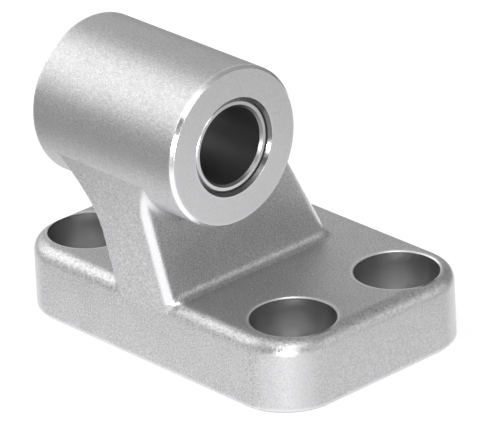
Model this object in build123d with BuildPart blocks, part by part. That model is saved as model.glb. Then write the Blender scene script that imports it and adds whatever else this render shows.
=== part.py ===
from build123d import *
import os
from math import asin, atan2, cos, radians, sin, sqrt, tan

os.makedirs("parts", exist_ok=True)

# Frame: X runs along the pivot axis, Y across the base towards the side the boss leans away from,
# Z up. The origin is the centre of the four screws on the mounting face. All sizes are millimetres.

# Base: a flat rounded plate with a slightly drafted wall and a well rounded top edge
base_length = 51.5
base_width = 34.0
base_height = 9.8
base_corner_radius = 7.5
base_top_radius = 2.0
base_draft = 0.5
base_bottom_chamfer = 0.4

# Screw holes: the socket heads sink below the top of the base
screw_spacing_x = 38.0
screw_spacing_y = 18.0
screw_clearance_diameter = 6.6
head_pocket_diameter = 11.0
head_pocket_depth = 6.4
head_pocket_rim_chamfer = 0.15

# Boss: a horizontal tube that hangs out past the near side of the base
pivot_height = 32.0
pivot_overhang = 21.0
boss_diameter = 20.8
boss_length = 26.0
boss_end_chamfer = 0.4

# Web: a leaning slab between the base and the boss, wider at its foot
web_thickness = 10.5
web_near_foot_drop = 0.4
web_near_foot_inset = 0.15
web_far_foot_y = 10.9
web_root_depth = 3.0
web_root_inset = 1.0
web_sink = 0.2
web_corner_radius = 1.3
web_foot_fillet = 1.2
web_front_root_radius = 1.5
web_back_root_radius = 5.0
web_root_sink = 0.05
web_root_overlap = 2.0

# Bush: a thin pressed ring, set a little below both faces of the boss
bush_bore_diameter = 10.0
bush_wall = 1.0
bush_recess = 0.5
bush_edge_chamfer = 0.3
press_clearance = 0.0
seat_chamfer = 0.4

# Sizes that follow from the ones above
pivot_y = screw_spacing_y / 2 - pivot_overhang
boss_radius = boss_diameter / 2
bush_outer_diameter = bush_bore_diameter + 2 * bush_wall
seat_diameter = bush_outer_diameter + 2 * press_clearance
bush_length = boss_length - 2 * bush_recess
pocket_floor_height = base_height - head_pocket_depth
web_near_foot_height = base_height - base_top_radius - web_near_foot_drop
web_near_foot_y = web_near_foot_inset - base_width / 2 + web_near_foot_height * tan(radians(base_draft))
web_root_height = web_near_foot_height - web_root_depth
slope_radius = boss_radius - web_sink


def touch_point(foot_y, foot_z, side):
    """Point where a straight line from the foot touches the circle just inside the boss skin."""
    span_y = pivot_y - foot_y
    span_z = pivot_height - foot_z
    span = sqrt(span_y**2 + span_z**2)
    heading = atan2(span_z, span_y) + side * asin(slope_radius / span)
    reach = sqrt(span**2 - slope_radius**2)
    return (foot_y + reach * cos(heading), foot_z + reach * sin(heading))


near_touch = touch_point(web_near_foot_y, web_near_foot_height, 1)
far_touch = touch_point(web_far_foot_y, base_height, -1)
web_outline = [
    (web_near_foot_y, web_near_foot_height),
    near_touch,
    (pivot_y, pivot_height),
    far_touch,
    (web_far_foot_y, base_height),
    (web_far_foot_y, web_root_height),
    (web_near_foot_y + web_root_inset, web_root_height),
]

# The plate on its own, with its rounded top edge and drafted wall
with BuildPart() as base_plate:
    with BuildSketch(Plane.XY):
        RectangleRounded(base_length, base_width, base_corner_radius)
    extrude(amount=base_height, taper=base_draft)
    fillet(base_plate.edges().group_by(Axis.Z)[-1], radius=base_top_radius)
    chamfer(base_plate.edges().group_by(Axis.Z)[0], length=base_bottom_chamfer)

# The web on its own. Rings turned round the pivot axis make its roots under the boss, tight on one
# side and sweeping on the other. The slab joins them, and all is trimmed to the web's side outline.
pivot_plane = Plane(origin=(0, pivot_y, pivot_height), x_dir=(1, 0, 0), z_dir=(0, -1, 0))
front_root_end = web_thickness / 2 + web_front_root_radius
back_root_end = web_thickness / 2 + web_back_root_radius
root_skin = boss_radius - web_root_sink
root_core = boss_radius - web_root_overlap
with BuildPart() as web_blank:
    with BuildSketch(pivot_plane):
        with BuildLine():
            Polyline(
                (web_thickness / 2, -root_skin - web_front_root_radius),
                (-web_thickness / 2, -root_skin - web_front_root_radius),
                (-web_thickness / 2, -root_core),
                (front_root_end, -root_core),
                (front_root_end, -root_skin),
            )
            RadiusArc(
                (front_root_end, -root_skin),
                (web_thickness / 2, -root_skin - web_front_root_radius),
                -web_front_root_radius,
            )
        make_face()
        with BuildLine():
            Polyline(
                (-web_thickness / 2, -root_skin - web_back_root_radius),
                (web_thickness / 2, -root_skin - web_back_root_radius),
                (web_thickness / 2, -root_core),
                (-back_root_end, -root_core),
                (-back_root_end, -root_skin),
            )
            RadiusArc(
                (-back_root_end, -root_skin),
                (-web_thickness / 2, -root_skin - web_back_root_radius),
                web_back_root_radius,
            )
        make_face()
    revolve(axis=Axis((0, pivot_y, pivot_height), (1, 0, 0)))
    with BuildSketch(Plane.YZ.offset(-web_thickness / 2)):
        with BuildLine():
            Polyline(*web_outline, close=True)
        make_face()
    extrude(amount=web_thickness)
    with BuildSketch(Plane.YZ.offset(-back_root_end)):
        with BuildLine():
            Polyline(*web_outline, close=True)
        make_face()
    extrude(amount=back_root_end + front_root_end, mode=Mode.INTERSECT)
    near_faces = web_blank.faces().filter_by(lambda face: face.normal_at().Y < -0.9)
    far_faces = web_blank.faces().filter_by(lambda face: face.normal_at().Z > 0.3)
    slopes = [near_faces.sort_by(SortBy.AREA)[-1], far_faces.sort_by(SortBy.AREA)[-1]]
    slope_edges = (slopes[0].edges() + slopes[1].edges()).filter_by(Axis.X, reverse=True)
    slope_edges = slope_edges.filter_by_position(Axis.X, -back_root_end, front_root_end, (False, False))
    fillet(slope_edges, radius=web_corner_radius)

# The casting: base, web and boss in one piece
with BuildPart() as bearing_block:
    add(base_plate.part)
    add(web_blank.part)
    with BuildSketch(Plane.YZ.offset(-boss_length / 2)):
        with Locations((pivot_y, pivot_height)):
            Circle(boss_radius)
    extrude(amount=boss_length)

    # Rounded root where the web meets the base
    foot_root = bearing_block.edges().filter_by(
        lambda edge: all(abs((edge @ step).X) < web_thickness / 2 + 0.01 for step in (0, 0.5, 1))
        and web_near_foot_height < (edge @ 0.5).Z < base_height + 0.01
    )
    fillet(foot_root, radius=web_foot_fillet)
    # Boss ends, then the seat for the bush with a lead-in at each end
    boss_ends = bearing_block.edges().filter_by(GeomType.CIRCLE)
    boss_ends = boss_ends.filter_by(lambda edge: abs(abs(edge.arc_center.X) - boss_length / 2) < 0.01)
    chamfer(boss_ends, length=boss_end_chamfer)
    with BuildSketch(Plane.YZ.offset(-boss_length / 2)):
        with Locations((pivot_y, pivot_height)):
            Circle(seat_diameter / 2)
    extrude(amount=boss_length, mode=Mode.SUBTRACT)
    seat_ends = bearing_block.edges().filter_by(GeomType.CIRCLE)
    seat_ends = seat_ends.filter_by(lambda edge: abs(edge.arc_center.Z - pivot_height) < 0.01)
    seat_ends = seat_ends.filter_by(lambda edge: abs(edge.radius - seat_diameter / 2) < 0.01)
    chamfer(seat_ends, length=seat_chamfer)

    # Four screw holes with deep pockets for the heads, each mouth broken by a small chamfer
    with Locations((0, 0, base_height)):
        with GridLocations(screw_spacing_x, screw_spacing_y, 2, 2):
            CounterBoreHole(
                radius=screw_clearance_diameter / 2,
                counter_bore_radius=head_pocket_diameter / 2,
                counter_bore_depth=head_pocket_depth,
                depth=base_height,
            )
    with Locations((0, 0, base_height - head_pocket_rim_chamfer / 2)):
        with GridLocations(screw_spacing_x, screw_spacing_y, 2, 2):
            Cone(
                bottom_radius=head_pocket_diameter / 2,
                top_radius=head_pocket_diameter / 2 + head_pocket_rim_chamfer,
                height=head_pocket_rim_chamfer,
                mode=Mode.SUBTRACT,
            )
bearing_block.part.label = "bearing_block"

# The bush: a plain ring between the two recesses, with broken edges
with BuildPart() as pivot_bush:
    with BuildSketch(Plane.YZ.offset(-bush_length / 2)):
        with Locations((pivot_y, pivot_height)):
            Circle(bush_outer_diameter / 2)
            Circle(bush_bore_diameter / 2, mode=Mode.SUBTRACT)
    extrude(amount=bush_length)
    chamfer(pivot_bush.edges().filter_by(GeomType.CIRCLE), length=bush_edge_chamfer)
pivot_bush.part.label = "pivot_bush"

export_step(bearing_block.part, "parts/bearing_block.step")
export_step(pivot_bush.part, "parts/pivot_bush.step")

print("bearing_block volume", round(bearing_block.part.volume, 1), "box", bearing_block.part.bounding_box())
print("pivot_bush volume", round(pivot_bush.part.volume, 1), "box", pivot_bush.part.bounding_box())
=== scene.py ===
# %% [markdown]
# # A cast bearing block for a pneumatic cylinder
#
# The object is a small aluminium casting: a flat base with four screw holes, a leaning web, and a
# cross tube on top that holds a pressed bush for a pivot pin. The shapes come ready from the CAD
# model. This lesson gives them their surfaces, their light and their camera.

import math

import bpy
from mathutils import Matrix, Vector


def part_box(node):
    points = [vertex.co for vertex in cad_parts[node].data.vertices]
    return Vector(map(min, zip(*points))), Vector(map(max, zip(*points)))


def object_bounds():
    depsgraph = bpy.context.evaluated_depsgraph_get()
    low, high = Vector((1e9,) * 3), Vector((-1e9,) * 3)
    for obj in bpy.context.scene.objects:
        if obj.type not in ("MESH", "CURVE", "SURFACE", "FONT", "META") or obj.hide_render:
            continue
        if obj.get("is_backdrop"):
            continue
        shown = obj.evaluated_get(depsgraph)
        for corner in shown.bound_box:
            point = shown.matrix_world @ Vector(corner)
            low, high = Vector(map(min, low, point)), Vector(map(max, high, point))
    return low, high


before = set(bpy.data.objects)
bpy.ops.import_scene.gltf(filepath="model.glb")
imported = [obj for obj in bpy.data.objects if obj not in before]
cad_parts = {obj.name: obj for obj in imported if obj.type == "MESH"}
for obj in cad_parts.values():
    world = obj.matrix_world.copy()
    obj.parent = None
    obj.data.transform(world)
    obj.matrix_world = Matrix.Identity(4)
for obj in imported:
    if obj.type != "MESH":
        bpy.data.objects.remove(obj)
cad_low, cad_high = (Vector(corner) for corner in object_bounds())
print("nodes:", sorted(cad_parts))
print("CAD box in mm:", [round(1000 * v, 2) for v in (*cad_low, *cad_high)])

MM = 0.001

# %% [markdown]
# ## Reading the sizes off the model
#
# The finishes below follow the shape: a turned face is bright only on the flat end of the tube, and
# a drilled wall only inside a hole. They could be painted by hand, but limits in millimetres stay
# sharp at any zoom and stay right when the mesh is made again. The pivot's place is read from the
# bush, which is centred on it, and the other numbers are the sizes of the CAD model.

# %% Where the turned and drilled faces are
bush_low, bush_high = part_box("pivot_bush")

pivot_y = (bush_low.y + bush_high.y) / 2
pivot_z = (bush_low.z + bush_high.z) / 2
bush_outer_radius = (bush_high.z - bush_low.z) / 2
bore_radius = 5.0 * MM
bush_chamfer = 0.3 * MM
seat_chamfer = 0.4 * MM
tube_radius = 10.4 * MM
tube_half_length = 13.0 * MM
tube_chamfer = 0.4 * MM
web_middle = 20.0 * MM
base_top = 9.8 * MM
screw_half_x = 19.0 * MM
screw_half_y = 9.0 * MM
pocket_radius = 5.5 * MM
pocket_chamfer = 0.15 * MM
print("pivot axis in mm: y", round(1000 * pivot_y, 2), "z", round(1000 * pivot_z, 2))

# %% [markdown]
# ## Writing shader maths as Python
#
# A node tree for cast and machined metal is mostly sums. Wired one node at a time it is long and hard
# to read, so one small class wraps a socket and turns `+`, `-` and `*` into Math nodes. Any other
# node comes from `node`, which makes its settings first and then fills its sockets.

# %% A socket that does arithmetic
class Wire:
    """An output socket of a material, with Python's operators."""

    def __init__(self, tree, socket=None):
        self.tree = tree
        self.socket = socket

    def node(self, kind, settings=None, slots=None, output=0):
        """Make a node and return one of its outputs."""
        made = self.tree.nodes.new("ShaderNode" + kind)
        for name, value in (settings or {}).items():
            setattr(made, name, value)
        for slot, value in (slots or {}).items():
            self.fill(made.inputs[slot], value)
        return Wire(self.tree, made.outputs[output])

    def fill(self, slot, value):
        """Link a Wire to an input socket, or set the socket to a plain value."""
        if isinstance(value, Wire):
            self.tree.links.new(value.socket, slot)
        else:
            slot.default_value = value

    def beside(self, output):
        """Another output of the node that this one comes from."""
        return Wire(self.tree, self.socket.node.outputs[output])

    def math(self, operation, first, second=0.0):
        return self.node("Math", {"operation": operation}, {0: first, 1: second})

    def __add__(self, other):
        return self.math("ADD", self, other)

    __radd__ = __add__

    def __sub__(self, other):
        return self.math("SUBTRACT", self, other)

    def __rsub__(self, other):
        return self.math("SUBTRACT", other, self)

    def __mul__(self, other):
        return self.math("MULTIPLY", self, other)

    __rmul__ = __mul__

    def size(self):
        """The number without its sign."""
        return self.math("ABSOLUTE", self)

    def at_most(self, limit):
        return self.math("MINIMUM", self, limit)

    def step(self, low, high):
        """0 below low, 1 above high, and a smooth ramp between them."""
        ramp = {"Value": self, "From Min": low, "From Max": high}
        return self.node("MapRange", {"interpolation_type": "SMOOTHSTEP"}, ramp)

    def beyond(self, edge, fade=0.02 * MM):
        """0 before an edge and 1 past it, with a crisp change at the edge itself."""
        return self.step(edge - fade, edge + fade)

    def noise(self, place, scale, detail=2.0, roughness=0.5):
        slots = {"Vector": place, "Scale": scale, "Detail": detail, "Roughness": roughness}
        return self.node("TexNoise", {"noise_dimensions": "3D"}, slots)

    def blend(self, mask, low, high):
        """A colour that goes from low to high as mask goes from 0 to 1."""
        # The Mix node has sockets for each kind of value. Colours are inputs 6 and 7, and output 2.
        return self.node("Mix", {"data_type": "RGBA"}, {0: mask, 6: low, 7: high}, output=2)


print("a Wire can:", [name for name in vars(Wire) if not name.startswith("_")])

# %% [markdown]
# ## Four more helpers
#
# Every material starts the same way: a new material, the sockets of its shader, and a Wire to build
# from. The metals also need the place of each point in the object's own coordinates. Distances from
# an axis draw round masks, and bare metal is grey, so a colour is given by one number.

# %% Starting a material, measuring, and mixing a grey
def new_material(name):
    """A material, the sockets of its shader, and a Wire to build from."""
    material = bpy.data.materials.new(name)
    material.use_nodes = True
    return material, material.node_tree.nodes["Principled BSDF"].inputs, Wire(material.node_tree)


def places(wire):
    """The place of a point on the object, as one vector and as x, y and z."""
    place = wire.node("TexCoord", output="Object")
    x = wire.node("SeparateXYZ", slots={0: place})
    return place, x, x.beside("Y"), x.beside("Z")


def distance(a, b):
    """The length of the arrow (a, b)."""
    square = a * a + b * b
    return square.math("SQRT", square)


def grey(level):
    """A neutral metal colour with a hair of blue, as aluminium has."""
    return (level, level, level * 1.008, 1.0)


print("the grey of cast aluminium:", [round(channel, 3) for channel in grey(0.68)])

# %% [markdown]
# ## Where each finish of the casting lies
#
# Three tools have touched this casting after it left the mould. A lathe faced the ends of the tube, a
# drill and a counterbore cut the screw holes, and a countersink broke the edge of the bore. Each cut
# could have a material of its own, but then its faces would have to be picked out of the mesh.
# Instead each mask is worked out from the place on the object: 1 on one of those surfaces and 0
# elsewhere. So one material covers the casting, and its finishes can also fade into each other.

# %% Masks for the cut faces
cast, cast_slots, w = new_material("blasted_casting")
place, x, y, z = places(w)

above_base = z.step(web_middle, web_middle + 0.5 * MM)
below_top = 1.0 - z.beyond(base_top - pocket_chamfer)
from_pivot = distance(y - pivot_y, z - pivot_z)
from_hole = distance(x.size() - screw_half_x, y.size() - screw_half_y)

turned = x.size().beyond(tube_half_length - 0.035 * MM, 0.015 * MM) * above_base
tube = (1.0 - from_pivot.step(tube_radius + 0.1 * MM, tube_radius + 0.6 * MM)) * above_base
tube_rim = from_pivot.step(tube_radius - 0.9 * MM, tube_radius - 0.6 * MM)
tube_edge = x.size().beyond(tube_half_length - tube_chamfer) * above_base
tube_edge = tube_edge * (1.0 - turned) * tube_rim
seat = (1.0 - from_pivot.beyond(bush_outer_radius + seat_chamfer - 0.02 * MM)) * above_base
in_pocket = 1.0 - from_hole.beyond(pocket_radius + pocket_chamfer + 0.07 * MM)
drilled = in_pocket * below_top
rim = in_pocket * (1.0 - below_top)
print("masks of the cut faces:", len(cast.node_tree.nodes), "nodes")

# %% [markdown]
# ## Worn edges
#
# Handling and tumbling polish the corners of a blasted casting first. Pointiness could find them, but
# it needs a dense mesh. The Bevel node works on any mesh: it gives the normal that the surface would
# have if its corners were rounder, and where that differs from the surface's own normal there is a
# sharp corner, so the difference is the wear. The web's upright corners and the top of the base are
# already round, so they are found from the normal itself.

# %% Masks for worn and rounded edges
normal = w.node("NewGeometry", output="Normal")
rounder = w.node("Bevel", {"samples": 6}, {"Radius": 0.7 * MM})
both_normals = {0: normal, 1: rounder}
likeness = w.node("VectorMath", {"operation": "DOT_PRODUCT"}, both_normals, output="Value")
worn = (1.0 - likeness).step(0.004, 0.06) * (1.0 - tube_edge)

normal_x = w.node("SeparateXYZ", slots={0: normal})
normal_y, normal_z = normal_x.beside("Y"), normal_x.beside("Z")
corner = (normal_x * normal_y).size().step(0.16, 0.46) * (1.0 - in_pocket)
web_corner = corner * (1.0 - below_top * 0.85)
polished = (worn + web_corner).at_most(1.0)

base_end = normal_x.size().step(0.5, 0.95) * below_top
rounded_top = normal_z.step(0.05, 0.35) * (1.0 - normal_z.step(0.90, 0.995))
rounded_top = rounded_top * (1.0 - z.step(base_top, base_top + 0.3 * MM)) * (1.0 - in_pocket)
print("with worn edges:", len(cast.node_tree.nodes), "nodes")

# %% [markdown]
# ## The relief of blasted aluminium
#
# The casting has been blasted with fine grit, so it is pale, even and satin. The marks are too fine
# to model, so a Bump node changes only the way the surface seems to face. Three noises make its
# height: a fine one for the grit marks, a wider one for the slight orange peel of the casting, and
# one for the flecks on the rounded top edge of the base. A noise's scale is in cells to the metre,
# written here as cells to the millimetre. The tube, the corners and the ends of the base are
# smoother, and the masks take the grain off the cut faces.

# %% The casting's relief
grit = w.noise(place, 4.6 / MM, roughness=0.6)
peel = w.noise(place, 1.7 / MM)
fleck = w.noise(place, 2.5 / MM, roughness=0.6)

cut = (1.0 - drilled * 0.9) * (1.0 - rim) * (1.0 - seat * 0.7) * (1.0 - tube_edge)
rough_cast = (1.0 - tube * 0.5) * (1.0 - corner * 0.5) * (1.0 - base_end * 0.45) * cut
grain = (grit * 0.8 + peel * 0.5 + fleck * rounded_top * 0.9) * rough_cast
bump = w.node("Bump", slots={"Height": grain, "Strength": 0.9, "Distance": 0.07 * MM})
w.fill(cast_slots["Normal"], bump)
print("with the relief:", len(cast.node_tree.nodes), "nodes")

# %% [markdown]
# ## The colour of blasted aluminium
#
# Each grit mark is a little darker in its pit than on its rim, and a slow cloud drifts under that.
# The finishes lie over it, one blend for each, so that each can be made stronger or weaker alone: the
# mask says where, and the grey says how pale. Worn and turned metal is nearly white, and a drilled
# wall is darker. The groove round the bush is painted darkest: painted shade for the shadow in its
# recess.

# %% The casting's colour and shine
cloud = w.noise(place, 0.26 / MM)
speckle = (grit * 0.9 + cloud * 0.1 - 0.5) * rough_cast + 0.5
cast_colour = w.blend(speckle.step(0.34, 0.66), grey(0.44), grey(0.68))
finishes = [
    (rounded_top * fleck.step(0.35, 0.6) * 0.45, 0.84),
    (polished * 0.85, 0.92),
    (tube_edge * 0.9, 0.92),
    (turned * 0.55, 0.98),
    (drilled, 0.54),
    (rim, 0.90),
    # The groove round the bush: painted shade, dark for the shadow in its recess.
    (seat, 0.16),
]
for mask, shade in finishes:
    cast_colour = w.blend(mask, cast_colour, grey(shade))
w.fill(cast_slots["Base Color"], cast_colour)

smoother = drilled * 0.13 + polished * 0.1 + corner * 0.14 + tube_edge * 0.1
w.fill(cast_slots["Roughness"], 0.48 + (peel - 0.5) * 0.2 - smoother)
w.fill(cast_slots["Metallic"], 1.0)
print("casting material:", len(cast.node_tree.nodes), "nodes,", len(finishes), "finishes")

# %% [markdown]
# ## The pressed bush
#
# The bush is a thin steel ring. Its ends are bright and smooth, and its bore wall is painted dark
# grey: painted shade, standing in for the shadow inside the bore. A mask of the bore wall changes the
# colour, so the bush stays one piece.

# %% The bush's material
steel, steel_slots, w = new_material("bush_steel_with_painted_dark_bore")
place, _, y, z = places(w)
from_pivot = distance(y - pivot_y, z - pivot_z)
bore_wall = 1.0 - from_pivot.beyond(bore_radius + bush_chamfer + 0.005 * MM, 0.025 * MM)
rub = w.noise(place, 1.4 / MM, detail=3.0, roughness=0.6)
# The bore wall is painted dark grey: painted shade for the inside of the bore.
w.fill(steel_slots["Base Color"], w.blend(bore_wall, grey(0.85), grey(0.24)))
w.fill(steel_slots["Roughness"], 0.24 + rub * 0.1 + bore_wall * 0.06)
w.fill(steel_slots["Metallic"], 0.9)
bump = w.node("Bump", slots={"Height": rub, "Strength": 0.15, "Distance": 0.01 * MM})
w.fill(steel_slots["Normal"], bump)
print("bush material:", len(steel.node_tree.nodes), "nodes")

# %% [markdown]
# ## Dressing the two solids
#
# Each solid is one piece of metal, so it takes one material. The CAD meshes stay as they came: the
# finish changes over the surface through the masks, and not through extra faces.

# %% Put the materials on the solids
def dress(node, material):
    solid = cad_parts[node]
    solid.data.materials.clear()
    solid.data.materials.append(material)
    print(node, "wears", material.name, "on", len(solid.data.polygons), "faces")


dress("bearing_block", cast)
dress("pivot_bush", steel)

# %% [markdown]
# ## The floor
#
# The object stands on a plain pale floor. A curved backdrop would show in the metal from some sides,
# so the floor is one flat square. It lies a hair below the object, because two faces in one plane
# would flicker.

# %% A flat floor
floor_reach = 3.0
floor_gap = 0.05 * MM
floor_corners = [(-1, -1), (1, -1), (1, 1), (-1, 1)]
floor_points = [(floor_reach * a, floor_reach * b, 0) for a, b in floor_corners]
floor_mesh = bpy.data.meshes.new("pale_floor")
floor_mesh.from_pydata(floor_points, [], [(0, 1, 2, 3)])
floor = bpy.data.objects.new("pale_floor", floor_mesh)
floor.location.z = cad_low.z - floor_gap
bpy.context.scene.collection.objects.link(floor)
floor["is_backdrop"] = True
print("floor at z", round(1000 * floor.location.z, 3), "mm")

# %% [markdown]
# ## The floor's white pool
#
# A soft-edged pool of white under and behind the object gives the picture its white background, and
# it is what the near side and the corners of the metal reflect. A white sky would do that too, but it
# would wash out the shading. The pool shows to the camera and in reflections, through Light Path.
# Past it the floor is only pale, so the underside of the tube turns darker, as in the photo.

# %% The floor's paint
floor_paint, floor_slots, w = new_material("pale_floor")
w.fill(floor_slots["Base Color"], grey(0.5))
w.fill(floor_slots["Roughness"], 0.9)
w.fill(floor_slots["Specular IOR Level"], 0.0)

seen = w.node("LightPath", output="Is Camera Ray")
seen = seen + seen.beside("Is Glossy Ray") + seen.beside("Is Transmission Ray")
spot_x = w.node("SeparateXYZ", slots={0: w.node("NewGeometry", output="Position")})
spot_y = spot_x.beside("Y")
side_x, side_y = 0.667, 0.745
across = (spot_x * side_x + spot_y * side_y).size()
behind = spot_y * side_x - spot_x * side_y
pool_middle = 30 * MM
pool_width = 1.0 - across.step(33 * MM, 78 * MM)
pool_length = 1.0 - (behind - pool_middle).size().step(105 * MM, 190 * MM)
white = w.blend(seen * (pool_width * pool_length), grey(0.0), grey(1.0))
w.fill(floor_slots["Emission Color"], white)
w.fill(floor_slots["Emission Strength"], 0.7)
floor_mesh.materials.append(floor_paint)
print("floor paint:", len(floor_paint.node_tree.nodes), "nodes")

# %% [markdown]
# ## The lamps
#
# A metal shows the light more than its own colour, so each lamp has one job. The one high on the left
# draws the broad highlight along the tube. The low one beside the camera draws the bright line down
# the near corner. The one above it lights the broken edges, the low one on the right fills the right
# end, and the dim one at the back shows in the flat top of the base.

# %% Five soft lamps
def soft_lamp(name, direction, away, width, height, watts):
    """A flat lamp, so many metres away, that looks at the object from a direction."""
    light = bpy.data.lights.new(name, "AREA")
    light.shape = "RECTANGLE"
    light.size = width
    light.size_y = height
    light.energy = watts
    lamp = bpy.data.objects.new(name, light)
    towards = Vector(direction).normalized()
    object_middle = Vector((0, -5 * MM, 20 * MM))
    lamp.location = object_middle + towards * away
    lamp.rotation_euler = towards.to_track_quat("Z", "Y").to_euler()
    bpy.context.scene.collection.objects.link(lamp)
    print(name, "at", [round(v, 3) for v in lamp.location])


soft_lamp("high_left_lamp", (-0.66, -0.34, 0.60), 0.6, 0.55, 0.66, 2.1)
soft_lamp("near_corner_lamp", (0.72, -0.69, 0.06), 0.75, 0.07, 0.10, 2.3)
soft_lamp("edge_lamp", (0.55, -0.38, 0.74), 0.5, 0.26, 0.26, 0.75)
soft_lamp("low_right_lamp", (0.72, 0.62, 0.24), 0.6, 0.4, 0.26, 0.38)
soft_lamp("far_lamp", (-0.68, 0.60, 0.42), 0.6, 0.45, 0.35, 0.26)

# %% [markdown]
# ## The sky
#
# An even grey sky fills what no lamp reaches. It is kept low, because a bright sky would wash out the
# shading of the tube.

# %% A grey sky
world = bpy.data.worlds.new("grey_sky")
bpy.context.scene.world = world
world.use_nodes = True
sky = world.node_tree.nodes["Background"]
sky.inputs["Color"].default_value = (1.0, 1.0, 1.0, 1.0)
sky.inputs["Strength"].default_value = 0.27
print("sky strength:", round(sky.inputs["Strength"].default_value, 2))

# %% [markdown]
# ## The camera
#
# The photo was taken from the near right corner, from a little above, through a long lens. A camera
# placed by eye would be a few degrees out, so these angles and this focal length were fitted to
# seventeen outlines of the object in the photo.

# %% The camera, at the photo's angle
azimuth, elevation, roll = (math.radians(angle) for angle in (48.15, 24.94, -2.73))
away = 0.6475
target = Vector((-3.832, 3.861, 11.679)) * MM
flat = Vector((math.sin(azimuth), -math.cos(azimuth), 0.0))
back = flat * math.cos(elevation) + Vector((0.0, 0.0, math.sin(elevation)))
level = Vector((math.cos(azimuth), math.sin(azimuth), 0.0))
upright = back.cross(level)
right = level * math.cos(roll) + upright * math.sin(roll)
up = upright * math.cos(roll) - level * math.sin(roll)

camera_data = bpy.data.cameras.new("photo_camera")
camera_data.sensor_width = 36.0
camera_data.lens = 375.07
camera_data.clip_start = 0.01
camera_data.clip_end = 20.0
camera = bpy.data.objects.new("photo_camera", camera_data)
camera.matrix_world = Matrix((right, up, back)).transposed().to_4x4()
camera.location = target + back * away
bpy.context.scene.collection.objects.link(camera)
bpy.context.scene.camera = camera
print("camera at", [round(v, 4) for v in camera.location])

# %% [markdown]
# ## Finishing
#
# The Standard view shows colours as they were written. The box of the dressed model is measured
# against the CAD model's box, and how far the finishes grow it is printed. A finish may not change
# the size of a part.

# %% Finish
bpy.context.scene.view_settings.view_transform = "Standard"

dressed_low, dressed_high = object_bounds()
below, above = cad_low - Vector(dressed_low), Vector(dressed_high) - cad_high
print("the finishes grow the box, in mm:", [round(1000 * v, 3) for v in (*below, *above)])
